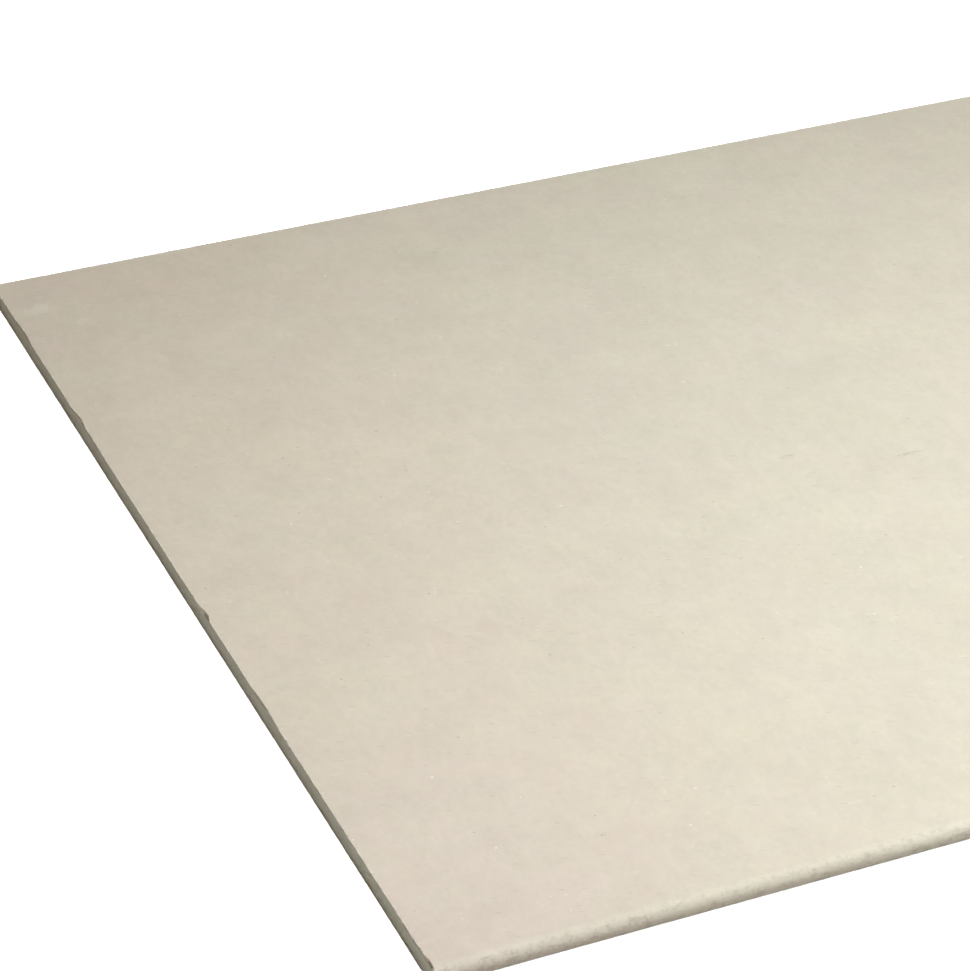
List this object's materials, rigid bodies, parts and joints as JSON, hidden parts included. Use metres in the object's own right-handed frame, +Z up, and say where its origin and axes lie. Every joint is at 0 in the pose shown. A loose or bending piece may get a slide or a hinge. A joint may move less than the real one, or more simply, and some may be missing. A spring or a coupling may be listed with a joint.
{
  "type": "drywall sheet",
  "caption": "Long flat gypsum board lying face up, with paper-wrapped half-round long edges and square-cut ends that bare the slightly chipped core; the lining panel for walls and ceilings.",
  "frame": {"origin": "middle of the back, on the plane the sheet lies on", "axes": "+X along the sheet's length, towards the end without chips; +Y across its width; +Z up, out of the face"},
  "size_m": [2, 0.6, 0.0095],
  "materials": {
    "gypsum": "matt, fine-grained cast gypsum, rough where it is cut",
    "face_paper": "matt ivory lining paper",
    "back_paper": "matt grey-brown liner paper"
  },
  "bodies": {
    "root": {"gypsum_core": "gypsum", "face_paper": "face_paper", "back_paper": "back_paper"}
  },
  "joints": []
}
